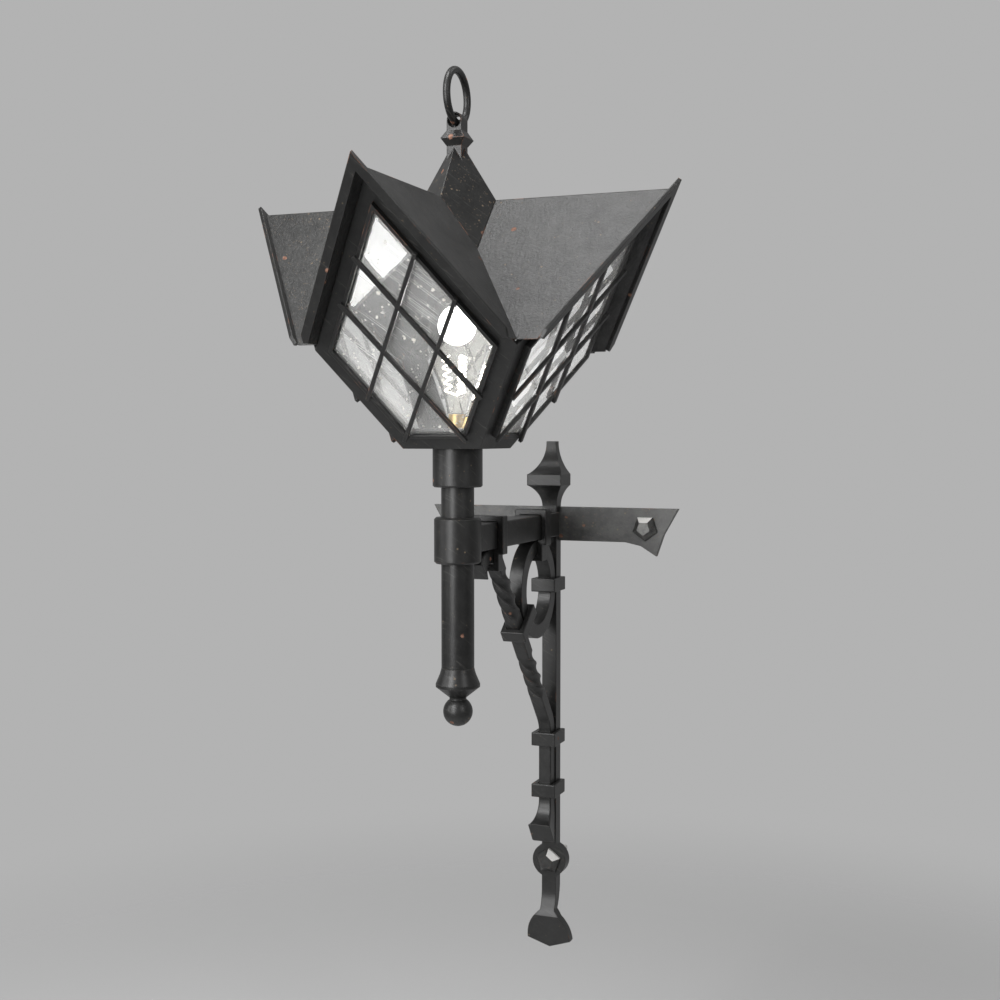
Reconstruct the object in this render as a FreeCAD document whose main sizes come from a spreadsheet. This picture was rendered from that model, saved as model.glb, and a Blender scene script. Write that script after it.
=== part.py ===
import FreeCAD, Part
import math
import os
import Sketcher
from FreeCAD import Placement, Rotation, Vector

# Outdoor wall light: a lantern on a post, carried by a forged bracket.
# Millimetres and degrees. The wall is the plane y = 0, the lantern stands out towards -Y and +Z is up.
# The strap on the wall is centred on the origin.

SIZES = {
    # lantern
    "reach": 296.5,
    "base_z": 93.5,
    "base_half": 41.5,
    "lean_angle": 33.6,
    "roof_pitch": 54.5,
    "ridge_rise": 248,
    "roof_sheet": 2.5,
    "roof_gap": 0.2,
    "overhang": 13,
    "eave_inset": 0.5,
    "fascia_thick": 4,
    "fascia_above_roof": 6,
    "fascia_below_roof": 3,
    "frame_thick": 5,
    "rim_top_inset": 17.5,
    "rim_side_inset": 19.5,
    "rim_wall": 3.5,
    "rim_height": 6,
    "pane_ledge": 2.5,
    "pane_gap": 0.2,
    "pane_thick": 4,
    "pane_edge": 2,
    "pane_bevel": 3.5,
    "muntin_width": 4,
    "muntin_height": 3.6,
    "muntin_past_rim": 1.8,
    "plate_gap": 0.3,
    "plate_thick": 4,
    "wire_hole_radius": 5,
    # spire, eye and ring
    "spire_rise": 66.5,
    "spire_slope": 1.58,
    "spire_cut": 8,
    "spire_sheet": 3,
    "neck_half": 8,
    "neck_sink": 1.7,
    "eye_collar_drop": 11,
    "eye_collar_low": 7.5,
    "eye_collar_high": 8,
    "eye_collar_half": 12.8,
    "eye_neck": 10.3,
    "eye_hole_drop": 0.6,
    "eye_hole_radius": 5.7,
    "eye_flare_radius": 7.2,
    "ring_mean_radius": 26.2,
    "ring_wire_radius": 3.8,
    "ring_gap": 0.5,
    # lamp
    "holder_wall": 3.5,
    "holder_height": 16,
    "holder_floor": 3,
    "holder_bevel": 2,
    "cap_radius": 8.85,
    "cap_height": 28.3,
    "cap_bevel": 3,
    "cap_gap": 0.15,
    "cap_lift": 0.2,
    "bulb_height": 121,
    "bulb_radius": 30.5,
    "bulb_wall": 0.8,
    "stem_foot_radius": 6.5,
    "stem_waist_radius": 3.5,
    "stem_top_radius": 2.2,
    "stem_waist_height": 10,
    "stem_height": 18,
    "coil_circle": 8.3,
    "coil_radius": 3.8,
    "coil_lean": 5,
    "coil_pitch": 7.7,
    "coil_lift": 2.5,
    "filament_wire": 0.8,
    "filament_lift": 0.4,
    # post
    "post_radius": 16.85,
    "post_bore": 13.6,
    "post_drop": 131,
    "seat_gap": 0.1,
    "upper_collar_radius": 25.5,
    "upper_collar_height": 39.2,
    "upper_collar_top": 7.5,
    "upper_collar_bevel": 1.5,
    "middle_collar_radius": 24.15,
    "middle_collar_half": 23.6,
    "middle_collar_bevel": 2,
    "cuff_past_post": 1.6,
    "cuff_drop": 6,
    "flare_radius": 22.8,
    "flare_drop": 17.8,
    "flare_half": 1.5,
    "spool_radius": 8.7,
    "spool_drop": 30.5,
    "spool_bevel": 2.5,
    "ball_radius": 15.2,
    "ball_drop": 45,
    "plug_height": 18,
    # strap and upright bar
    "strap_half_length": 157,
    "strap_half_height": 20.5,
    "strap_thick": 6,
    "fishtail_start": 65,
    "fishtail_bend": 46,
    "fishtail_bend_drop": 4,
    "fishtail_tip": 26.5,
    "fishtail_tip_drop": 16,
    "fishtail_notch": 17.5,
    "fishtail_notch_rise": 10,
    "bar_half_width": 9,
    "bar_depth": 16,
    "lap_gap": 0.1,
    "finial_top": 99.6,
    "finial_top_half": 6,
    "finial_top_depth": 10,
    "finial_top_straight": 8,
    "finial_foot": 21,
    "nose_top": 60,
    "nose_low": 47,
    "nose_half": 21.3,
    "nose_out": 20.5,
    "boss_radius": 21,
    "boss_drop": 78,
    "leaf_half": 27.3,
    "leaf_side_drop": 98,
    "leaf_neck_drop": 60,
    "leaf_drop": 108,
    "leaf_kink_drop": 66,
    "leaf_kink_out": 10.5,
    "leaf_kink_thick": 12,
    "leaf_front_rise": 32,
    "leaf_back_rise": 38,
    "leaf_tip_depth": 13,
    "leaf_tip_thick": 11,
    # beam, hoop and brace
    "beam_half_width": 13,
    "beam_half_height": 14.2,
    "stock_half": 8,
    "hoop_gap": 0.2,
    "brace_half": 7.75,
    "brace_edge": 1.2,
    "knee_inset": 94.6,
    "knee_radius": 18,
    "knee_run": 12,
    "heel_drop": 240.34,
    "heel_radius": 34,
    "twist_knee_gap": 18.4,
    "twist_clamp_gap": 25.3,
    "twist_low_gap": 40,
    "twist_heel_gap": 42,
    "tail_radius": 45,
    "tail_half": 14,
    "upper_tail_turn": 47,
    "upper_tail_thick": 12.3,
    "lower_tail_turn": 56,
    "lower_tail_thick": 14.5,
    "lower_tail_drop": 12.5,
    # bands
    "band_thick": 6.5,
    "clip_depth": 13.5,
    "clip_lead": 17.6,
    "clip_slack": 2.5,
    "hoop_clip_depth": 17,
    "bar_collar_height": 16,
    "bar_collar_thick": 6,
    "bar_collar_gap": 0.15,
    "bar_collar_lead": 6.57,
    "bar_collar_step": 62.5,
    "clamp_half_width": 14,
    "clamp_height": 15,
    "clamp_slack": 1.45,
    "clamp_shift": 2.5,
    "clamp_ease": 1.6,
    # screws
    "bolt_inset": 40,
    "bolt_fall": 3,
    "bolt_head_radius": 15.5,
    "bolt_tip_radius": 8.5,
    "bolt_head_side": 3.5,
    "bolt_head_height": 11,
    "shank_radius": 4,
    "shank_past_wall": 1,
    "shank_gap": 0.3,
    "thread_radius": 3.7,
    "thread_length": 42,
    "screw_point_length": 5,
    "screw_point_radius": 0.8,
}

doc = FreeCAD.newDocument("wall_light")
sheet = doc.addObject("Spreadsheet::Sheet", "Sizes")
derived = doc.addObject("App::VarSet", "Derived")
for row, (alias, number) in enumerate(SIZES.items(), 1):
    sheet.set(f"A{row}", alias)
    sheet.set(f"B{row}", str(number))
    sheet.setAlias(f"B{row}", alias)
doc.recompute()


class Size:
    """A length or angle that carries its value and the expression that gives it."""

    def __init__(self, value, text):
        self.value = value
        self.text = text

    def __add__(self, other):
        other = size(other)
        return Size(self.value + other.value, f"({self.text} + {other.text})")

    def __radd__(self, other):
        return size(other) + self

    def __sub__(self, other):
        other = size(other)
        return Size(self.value - other.value, f"({self.text} - {other.text})")

    def __rsub__(self, other):
        return size(other) - self

    def __mul__(self, other):
        other = size(other)
        return Size(self.value * other.value, f"({self.text} * {other.text})")

    def __rmul__(self, other):
        return size(other) * self

    def __truediv__(self, other):
        other = size(other)
        return Size(self.value / other.value, f"({self.text} / {other.text})")

    def __neg__(self):
        return Size(-self.value, f"(-1 * {self.text})")


class Given:
    """The sheet's sizes, by name."""

    def __getattr__(self, name):
        return Size(float(SIZES[name]), f"Sizes.{name}")


g = Given()


def size(x):
    return x if isinstance(x, Size) else Size(float(x), repr(float(x)))


def sine(a):
    return Size(math.sin(math.radians(a.value)), f"sin({a.text})")


def cosine(a):
    return Size(math.cos(math.radians(a.value)), f"cos({a.text})")


def tangent(a):
    return Size(math.tan(math.radians(a.value)), f"tan({a.text})")


def root(a):
    return Size(math.sqrt(a.value), f"sqrt({a.text})")


def derive(name, s):
    """Keep a worked-out size under a short name."""
    derived.addProperty("App::PropertyFloat", name)
    derived.setExpression(name, s.text)
    return Size(s.value, f"Derived.{name}")


def body(label):
    b = doc.addObject("PartDesign::Body", label)
    b.Label = label
    return b


def plane(b, role):
    return next(f for f in b.Origin.OriginFeatures if f.Role == role)


def sketch(b, name, role, lift=None):
    sk = b.newObject("Sketcher::SketchObject", name)
    sk.AttachmentSupport = [(plane(b, role), "")]
    sk.MapMode = "FlatFace"
    if lift is not None:
        sk.setExpression("AttachmentOffset.Base.z", size(lift).text)
    return sk


def pin_down(sk, kind, geo, spot, s):
    """Hold a point's distance from the sketch's origin along one axis."""
    s = size(s)
    if abs(s.value) < 1e-9:
        sk.addConstraint(Sketcher.Constraint("PointOnObject", geo, spot, -2 if kind == "DistanceX" else -1))
        return
    i = sk.addConstraint(Sketcher.Constraint(kind, -1, 1, geo, spot, s.value))
    sk.setExpression(f"Constraints[{i}]", s.text)


def loop(sk, points):
    """Draw a closed outline through points that are pairs of sizes.

    A point with a third item starts an arc to the next point. The arc runs upright "here", at this
    point, or "there", at the next one.
    """
    first = sk.GeometryCount
    spots = [(size(p[0]), size(p[1])) for p in points]
    n = len(points)
    ends = []
    for i in range(n):
        (ax, ay), (bx, by) = spots[i], spots[(i + 1) % n]
        a, b = Vector(ax.value, ay.value, 0), Vector(bx.value, by.value, 0)
        if len(points[i]) == 2:
            sk.addGeometry(Part.LineSegment(a, b), False)
            ends.append((1, 2))
            continue
        foot, tip = (a, b) if points[i][2] == "here" else (b, a)
        reach = tip - foot
        radius = reach.Length**2 / abs(2 * reach.x)
        centre = foot + Vector(math.copysign(radius, reach.x), 0, 0)
        ccw = (a - centre).cross(b - centre).z > 0
        turns = [math.atan2(e.y - centre.y, e.x - centre.x) for e in ((a, b) if ccw else (b, a))]
        sk.addGeometry(Part.ArcOfCircle(Part.Circle(centre, Vector(0, 0, 1), radius), *turns), False)
        ends.append((1, 2) if ccw else (2, 1))
    for i in range(n):
        after = (i + 1) % n
        sk.addConstraint(Sketcher.Constraint("Coincident", first + i, ends[i][1], first + after, ends[after][0]))
    for i, (x, y) in enumerate(spots):
        pin_down(sk, "DistanceX", first + i, ends[i][0], x)
        pin_down(sk, "DistanceY", first + i, ends[i][0], y)
        if len(points[i]) == 3:
            upright = i if points[i][2] == "here" else (i + 1) % n
            pin_down(sk, "DistanceY", first + i, 3, spots[upright][1])


def backwards(points):
    """The same open outline, drawn from its last point to its first."""
    other = {"here": "there", "there": "here"}
    marks = [()] + [tuple(other[m] for m in p[2:]) for p in points[:-1]]
    return [(*p[:2], *m) for p, m in zip(points, marks)][::-1]


def disc(sk, x, y, r):
    """Draw a circle."""
    x, y, r = size(x), size(y), size(r)
    g = sk.addGeometry(Part.Circle(Vector(x.value, y.value, 0), Vector(0, 0, 1), r.value), False)
    i = sk.addConstraint(Sketcher.Constraint("Radius", g, r.value))
    sk.setExpression(f"Constraints[{i}]", r.text)
    pin_down(sk, "DistanceX", g, 3, x)
    pin_down(sk, "DistanceY", g, 3, y)


def pad(b, sk, length, name):
    p = b.newObject("PartDesign::Pad", name)
    p.Profile = sk
    p.setExpression("Length", size(length).text)
    b.Tip = p
    return p


def pocket(b, sk, length, name, back=False):
    p = b.newObject("PartDesign::Pocket", name)
    p.Profile = sk
    p.setExpression("Length", size(length).text)
    p.Reversed = back
    b.Tip = p
    return p


def revolve(b, sk, name):
    r = b.newObject("PartDesign::Revolution", name)
    r.Profile = sk
    r.ReferenceAxis = (sk, ["V_Axis"])
    r.Angle = 360
    b.Tip = r
    return r


def loft(b, sections, name):
    f = b.newObject("PartDesign::AdditiveLoft", name)
    f.Profile = sections[0]
    f.Sections = sections[1:]
    f.Ruled = True
    b.Tip = f
    return f


def on_axis(obj):
    """Stand an object on the lantern's upright axis."""
    obj.setExpression("Placement.Base.y", (-g.reach).text)


def boolean(kind, label, base, tools):
    """Part booleans: Cut takes one base and one tool, the others take a list."""
    o = doc.addObject(f"Part::{kind}", label)
    if kind == "Cut":
        o.Base, o.Tool = base, tools
    else:
        o.Shapes = [base] + tools
    o.Label = label
    return o


def cylinder(label, r, h):
    c = doc.addObject("Part::Cylinder", label)
    c.setExpression("Radius", size(r).text)
    c.setExpression("Height", size(h).text)
    return c


def place(obj, x=None, y=None, z=None, turn=None):
    if turn is not None:
        obj.Placement = Placement(Vector(), Rotation(*turn))
    for axis, s in (("x", x), ("y", y), ("z", z)):
        if s is not None:
            obj.setExpression(f"Placement.Base.{axis}", size(s).text)
    return obj


def square(b, name, z, half):
    sk = sketch(b, name, "XY_Plane", z)
    loop(sk, [(-half, -half), (half, -half), (half, half), (-half, half)])
    return sk


def turned(label, points):
    """A round piece from an outline of radius and height pairs."""
    b = body(label)
    sk = sketch(b, f"{label}_outline", "XZ_Plane")
    loop(sk, points)
    revolve(b, sk, f"{label}_turn")
    on_axis(b)
    return b


made = []


def keep(obj, name):
    made.append((obj, name))
    return obj


# worked-out sizes of the leaning faces, in the plane of a face:
# across from its middle and up from its lower edge
sin_l = derive("sin_lean", sine(g.lean_angle))
cos_l = derive("cos_lean", cosine(g.lean_angle))
tan_l = derive("tan_lean", tangent(g.lean_angle))
tan_p = derive("tan_pitch", tangent(g.roof_pitch))
cos_p = derive("cos_pitch", cosine(g.roof_pitch))
hip_n = derive("hip_norm", root(1 + sin_l * sin_l))
top_n = derive("top_norm", root(tan_p * tan_p + cos_l * cos_l))
ridge_z = derive("ridge_z", g.base_z + g.ridge_rise)
under_z = derive("roof_under_z", ridge_z - (g.roof_sheet + g.roof_gap) / cos_p)


def pentagon(tag, top_in, side_in, off):
    """Corners of a face's five-sided outline, moved inwards from the roof and sides and out by off."""
    c = derive(f"{tag}_hip", g.base_half + off * cos_l - side_in * hip_n)
    k = derive(f"{tag}_top", under_z - g.base_z + off * sin_l - top_in * top_n)
    low = derive(f"{tag}_low_s", off * tan_l + side_in)
    low_x = derive(f"{tag}_low_x", c + low * sin_l)
    side = derive(f"{tag}_side_s", (k - tan_p * c) / (cos_l + tan_p * sin_l))
    side_x = derive(f"{tag}_side_x", c + side * sin_l)
    apex = derive(f"{tag}_apex_s", k / cos_l)
    return {"low": (low_x, low), "side": (side_x, side), "apex": apex, "hip": c}


def corners(p):
    (lx, ls), (sx, ss) = p["low"], p["side"]
    return [(-lx, ls), (lx, ls), (sx, ss), (0, p["apex"]), (-sx, ss)]


def inset(tag, inwards):
    """A face's outline, moved inwards from the inner edge of the rim."""
    return pentagon(tag, g.rim_top_inset + inwards, g.rim_side_inset + inwards, size(0))


face_outer = pentagon("face_outer", size(0), size(0), size(0))
face_inner = pentagon("face_inner", size(0), size(0), -g.frame_thick)
past = g.rim_wall + g.muntin_past_rim
opening = inset("opening", g.pane_ledge)
rim_inner = inset("rim_inner", size(0))
rim_outer = inset("rim_outer", -g.rim_wall)
pane_low = inset("pane_low", g.pane_gap)
pane_top = inset("pane_top", g.pane_gap + g.pane_bevel)
bar_end = inset("bar_end", -past)

# the lattice: two bars each way, from the thirds of the upper edges
fall_x = rim_inner["side"][0]
fall_s = derive("lattice_fall", rim_inner["apex"] - rim_inner["side"][1])
run = derive("lattice_run", root(fall_x * fall_x + fall_s * fall_s))
start_t = derive("lattice_start", past * top_n / (2 * tan_p * fall_x))
bars = []
for i in (1, 2):
    px = derive(f"lattice_{i}_x", -fall_x * i / 3)
    ps = derive(f"lattice_{i}_s", rim_inner["apex"] - fall_s * i / 3)
    if i == 1:
        end_t = (bar_end["hip"] - px + sin_l * ps) / (fall_x + sin_l * fall_s)
    else:
        end_t = (ps - bar_end["low"][1]) / fall_s
    end_t = derive(f"lattice_{i}_end", end_t)
    ax, az = px - fall_x * start_t, ps + fall_s * start_t
    bx, bz = px + fall_x * end_t, ps - fall_s * end_t
    wx = derive(f"lattice_{i}_wx", g.muntin_width / 2 * fall_s / run)
    ws = derive(f"lattice_{i}_ws", g.muntin_width / 2 * fall_x / run)
    bars.append([(ax - wx, az - ws), (bx - wx, bz - ws), (bx + wx, bz + ws), (ax + wx, az + ws)])

# the fascia: an upside-down V along the edge of the roof, cut upright above the eave and level with it
eave_half = derive("eave_half", face_outer["side"][0] - g.eave_inset)
eave_z = derive("eave_z", ridge_z - eave_half * tan_p)
roof_k = derive("fascia_roof", g.ridge_rise + g.overhang * sin_l)
up_k = derive("fascia_up_k", roof_k + g.fascia_above_roof * top_n)
down_k = derive("fascia_down_k", roof_k - g.fascia_below_roof * top_n)
cut_s = derive("fascia_cut_s", (eave_z - g.base_z + (g.overhang + g.fascia_thick) * sin_l) / cos_l)
cut_x = derive("fascia_cut_x", (down_k - cut_s * cos_l) / tan_p)
fascia_right = [
    (cut_x, cut_s),
    (eave_half, cut_s),
    (eave_half, (up_k - tan_p * eave_half) / cos_l),
]
fascia_left = [(-x, s) for x, s in fascia_right[::-1]]
fascia_pts = [(0, down_k / cos_l)] + fascia_right + [(0, up_k / cos_l)] + fascia_left


def lean_place(b, turn):
    """Lay a body's own XY plane on one leaning face, its Z axis outwards."""
    stand = Placement(Vector(0, -g.reach.value, 0), Rotation(Vector(0, 0, 1), turn))
    edge = Vector(0, -g.base_half.value, g.base_z.value)
    tip = Placement(edge, Rotation(Vector(1, 0, 0), 90 + g.lean_angle.value))
    b.Placement = stand.multiply(tip)


for side, turn in (("front", 0), ("right", 90), ("back", 180), ("left", 270)):
    frame = body(f"frame_{side}")
    outer = sketch(frame, f"frame_{side}_outer", "XY_Plane")
    loop(outer, corners(face_outer))
    inner = sketch(frame, f"frame_{side}_inner", "XY_Plane", -g.frame_thick)
    loop(inner, corners(face_inner))
    loft(frame, [outer, inner], f"frame_{side}_plate")
    hole = sketch(frame, f"frame_{side}_hole", "XY_Plane", g.frame_thick)
    loop(hole, corners(opening))
    pocket(frame, hole, g.frame_thick * 3, f"frame_{side}_opening")
    lean_place(frame, turn)
    keep(frame, f"frame_{side}")

    rim = body(f"rim_{side}")
    sk = sketch(rim, f"rim_{side}_outline", "XY_Plane")
    loop(sk, corners(rim_outer))
    loop(sk, corners(rim_inner))
    pad(rim, sk, g.rim_height, f"rim_{side}_pad")
    lean_place(rim, turn)
    keep(rim, f"rim_{side}")

    pane = body(f"pane_{side}")
    sk = sketch(pane, f"pane_{side}_outline", "XY_Plane")
    loop(sk, corners(pane_low))
    pad(pane, sk, g.pane_edge, f"pane_{side}_pad")
    wide = sketch(pane, f"pane_{side}_wide", "XY_Plane", g.pane_edge)
    loop(wide, corners(pane_low))
    narrow = sketch(pane, f"pane_{side}_narrow", "XY_Plane", g.pane_thick)
    loop(narrow, corners(pane_top))
    loft(pane, [wide, narrow], f"pane_{side}_bevel")
    lean_place(pane, turn)
    keep(pane, f"pane_{side}")

    lattice = body(f"lattice_{side}")
    for i, pts in enumerate(bars):
        for j, flip in enumerate((1, -1)):
            sk = sketch(lattice, f"lattice_{side}_{i}{j}", "XY_Plane", g.rim_height)
            loop(sk, [(x * flip, s) for x, s in pts][::flip])
            pad(lattice, sk, g.muntin_height, f"lattice_{side}_bar_{i}{j}")
    lean_place(lattice, turn)
    keep(lattice, f"lattice_{side}")

    fascia = body(f"fascia_{side}")
    sk = sketch(fascia, f"fascia_{side}_outline", "XY_Plane", g.overhang)
    loop(sk, fascia_pts)
    pad(fascia, sk, g.fascia_thick, f"fascia_{side}_pad")
    lean_place(fascia, turn)
    keep(fascia, f"fascia_{side}")

# the roof: two crossing gables of sheet, trimmed to the leaning planes behind the fascias
far = eave_half * 3


def gable(label, role, top, low):
    b = body(label)
    sk = sketch(b, f"{label}_outline", role, -far)
    half = derive(f"{label}_half", (top - low) / tan_p)
    loop(sk, [(-half, low), (half, low), (0, top)])
    pad(b, sk, far * 2, f"{label}_pad")
    on_axis(b)
    return b


sheet_rise = derive("sheet_rise", g.roof_sheet / cos_p)
below = eave_z - sheet_rise * 4
gable_a = gable("gable_along", "XZ_Plane", ridge_z, eave_z)
gable_b = gable("gable_across", "YZ_Plane", ridge_z, eave_z)
under_a = gable("under_along", "XZ_Plane", ridge_z - sheet_rise, below)
under_b = gable("under_across", "YZ_Plane", ridge_z - sheet_rise, below)
envelope = body("roof_envelope")
trim_half = derive("trim_half", g.base_half + g.overhang / cos_l)
env_low = square(envelope, "envelope_low", g.base_z, trim_half)
env_top = square(envelope, "envelope_top", g.base_z + far, trim_half + far * tan_l)
loft(envelope, [env_low, env_top], "envelope_loft")
on_axis(envelope)
roof_full = boolean("MultiFuse", "roof_full", gable_a, [gable_b])
roof_trim = boolean("MultiCommon", "roof_trimmed", roof_full, [envelope])
roof_under = boolean("MultiFuse", "roof_under", under_a, [under_b])
roof = boolean("Cut", "roof", roof_trim, roof_under)
keep(roof, "roof")

# the eye at the top, its square collar and the hanging ring
spire_tip = derive("spire_tip_z", ridge_z + g.spire_rise)
neck_low = derive("neck_low_z", spire_tip - g.neck_half * 2 * g.spire_slope - g.neck_sink)
collar_low = derive("eye_collar_low_z", spire_tip - g.eye_collar_drop)
collar_mid = derive("eye_collar_mid_z", collar_low + g.eye_collar_low)
collar_top = derive("eye_collar_top_z", collar_mid + g.eye_collar_high)
eye_z = derive("eye_centre_z", collar_top + g.eye_neck)
eye_hole_z = derive("eye_hole_z", eye_z - g.eye_hole_drop)
eye_stem = body("eye_stem")
sections = [
    square(eye_stem, "eye_s1", neck_low, g.neck_half),
    square(eye_stem, "eye_s2", collar_low, g.neck_half),
    square(eye_stem, "eye_s3", collar_mid, g.eye_collar_half),
    square(eye_stem, "eye_s4", collar_top, g.neck_half),
    square(eye_stem, "eye_s5", eye_z, g.neck_half),
]
loft(eye_stem, sections, "eye_stem_loft")
on_axis(eye_stem)
eye_round = cylinder("eye_round", g.neck_half, g.neck_half * 2)
place(eye_round, y=-g.reach + g.neck_half, z=eye_z, turn=(Vector(1, 0, 0), 90))
eye_bore = body("eye_bore")
sk = sketch(eye_bore, "eye_bore_outline", "XZ_Plane")
bore_half = g.neck_half * 1.25
flare_end = g.eye_hole_radius + (g.eye_flare_radius - g.eye_hole_radius) * 1.5
loop(sk, [
    (0, -bore_half), (flare_end, -bore_half), (g.eye_hole_radius, -g.neck_half / 2),
    (g.eye_hole_radius, g.neck_half / 2), (flare_end, bore_half), (0, bore_half),
])
revolve(eye_bore, sk, "eye_bore_turn")
place(eye_bore, y=-g.reach, z=eye_hole_z, turn=(Vector(1, 0, 0), 90))
eye_solid = boolean("MultiFuse", "eye_solid", eye_stem, [eye_round])
eye = boolean("Cut", "eye", eye_solid, eye_bore)
keep(eye, "eye")

ring = doc.addObject("Part::Torus", "ring")
ring.setExpression("Radius1", g.ring_mean_radius.text)
ring.setExpression("Radius2", g.ring_wire_radius.text)
ring_low_z = eye_hole_z - g.eye_hole_radius + g.ring_wire_radius + g.ring_gap
place(ring, y=-g.reach, z=ring_low_z + g.ring_mean_radius, turn=(Vector(0, 1, 0), 90))
keep(ring, "ring")

# the spire: a pyramid of sheet that stands on the crossing ridges, its corners over them
valley_drop = tan_p * g.spire_rise / (2 * g.spire_slope - tan_p)
spire_low = derive("spire_low_z", ridge_z - valley_drop * 1.5)
spire_top = derive("spire_top_z", spire_tip - g.spire_cut)


def diamond(b, name, z, half):
    sk = sketch(b, name, "XY_Plane", z)
    loop(sk, [(half, 0), (0, half), (-half, 0), (0, -half)])
    return sk


def pyramid(label, down):
    """The spire's pyramid, moved down."""
    b = body(label)
    low = diamond(b, f"{label}_low", spire_low, (spire_tip - down - spire_low) / g.spire_slope)
    top = diamond(b, f"{label}_top", spire_top - down, g.spire_cut / g.spire_slope)
    loft(b, [low, top], f"{label}_loft")
    on_axis(b)
    return b


spire_full = pyramid("spire_full", size(0))
spire_hollow = pyramid("spire_hollow", g.spire_sheet * 2)
spire_over = boolean("Cut", "spire_over", spire_full, roof_full)
spire_shell = boolean("Cut", "spire_shell", spire_over, spire_hollow)
spire = boolean("Cut", "spire", spire_shell, eye_solid)
keep(spire, "spire")

# the floor of the lantern and the lamp on it
plate_half = derive("plate_half", g.base_half - g.frame_thick / cos_l - g.plate_gap)
floor = body("floor_plate")
sk = square(floor, "floor_outline", g.base_z, plate_half)
disc(sk, 0, 0, g.wire_hole_radius)
pad(floor, sk, g.plate_thick, "floor_pad")
on_axis(floor)
keep(floor, "floor_plate")

floor_top = g.base_z + g.plate_thick
holder_top = floor_top + g.holder_height
holder_in = g.cap_radius + g.cap_gap
holder_r = holder_in + g.holder_wall
keep(turned("lamp_holder", [
    (g.wire_hole_radius, floor_top),
    (holder_r, floor_top),
    (holder_r, holder_top - g.holder_bevel),
    (holder_r - g.holder_bevel, holder_top),
    (holder_in, holder_top),
    (holder_in, floor_top + g.holder_floor),
    (g.wire_hole_radius, floor_top + g.holder_floor),
]), "lamp_holder")
cap_low = floor_top + g.holder_floor + g.cap_lift
cap_top = derive("cap_top_z", cap_low + g.cap_height)
keep(turned("bulb_cap", [
    (0, cap_low),
    (g.cap_radius - g.cap_bevel, cap_low),
    (g.cap_radius, cap_low + g.cap_bevel),
    (g.cap_radius, cap_top),
    (0, cap_top),
]), "bulb_cap")

# the bulb's glass: a smooth outline from the cap to the crown, as a thin shell,
# through shares of the bulb's radius and height
shape = [(0.33, 0), (0.39, 0.1), (0.59, 0.25), (0.83, 0.4), (0.965, 0.52), (1, 0.62), (0.965, 0.74), (0.8, 0.87)]


def bulb_side(wall):
    low, tall = cap_top.value + wall, g.bulb_height.value - 2 * wall
    pts = [Vector(r * g.bulb_radius.value - wall, 0, low + f * tall) for r, f in shape]
    crown = Vector(0, 0, low + tall)
    curve = Part.BSplineCurve()
    curve.interpolate(Points=pts + [crown], InitialTangent=Vector(0.1, 0, 1), FinalTangent=Vector(-1, 0, 0))
    return pts[0], crown, curve.toShape()


o_low, o_top, o_edge = bulb_side(0.0)
i_low, i_top, i_edge = bulb_side(g.bulb_wall.value)
wall_wire = Part.Wire([
    o_edge,
    Part.LineSegment(o_top, i_top).toShape(),
    i_edge.reversed(),
    Part.LineSegment(i_low, Vector(0, 0, i_low.z)).toShape(),
    Part.LineSegment(Vector(0, 0, i_low.z), Vector(0, 0, o_low.z)).toShape(),
    Part.LineSegment(Vector(0, 0, o_low.z), o_low).toShape(),
])
glass = doc.addObject("Part::Feature", "bulb_glass")
glass.Shape = Part.Face(wall_wire).revolve(Vector(), Vector(0, 0, 1), 360)
glass.Placement = Placement(Vector(0, -g.reach.value, 0), Rotation())
keep(glass, "bulb_glass")

# the bulb's stem and the filament that stands on it: three coils that lean outwards, with a lead to each
stem_low = cap_top + g.bulb_wall
stem_high = derive("stem_high_z", cap_top + g.stem_height)
keep(turned("bulb_stem", [
    (0, stem_low),
    (g.stem_foot_radius, stem_low),
    (g.stem_waist_radius, stem_low + g.stem_waist_height),
    (g.stem_top_radius, stem_high),
    (0, stem_high),
]), "bulb_stem")
coils = 3
coil_turns = 5
bends_per_turn = 6
first_coil = 201.5
wire = g.filament_wire.value
hub_top = Vector(0, 0, (stem_high + g.filament_lift + g.filament_wire).value)
pieces = [Part.makeSphere(wire, hub_top)]
for i in range(coils):
    az = first_coil + 360 * i / coils
    out = Vector(math.cos(math.radians(az)), math.sin(math.radians(az)), 0)
    facing = Rotation(Vector(0, 0, 1), az + 180).multiply(Rotation(Vector(0, 1, 0), -g.coil_lean.value))
    stand = Placement(out * g.coil_circle.value + Vector(0, 0, (stem_high + g.coil_lift).value), facing)
    path = [hub_top]
    for j in range(coil_turns * bends_per_turn + 1):
        a = 2 * math.pi * j / bends_per_turn
        bend_at = Vector(math.cos(a), math.sin(a), 0) * g.coil_radius.value
        path.append(stand.multVec(bend_at + Vector(0, 0, g.coil_pitch.value * j / bends_per_turn)))
    for p, q in zip(path, path[1:]):
        pieces.append(Part.makeCylinder(wire, (q - p).Length, p, q - p))
        pieces.append(Part.makeSphere(wire, q))
filament = doc.addObject("Part::Feature", "filament")
filament.Shape = pieces[0].multiFuse(pieces[1:])
filament.Placement = Placement(Vector(0, -g.reach.value, 0), Rotation())
keep(filament, "filament")

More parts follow.
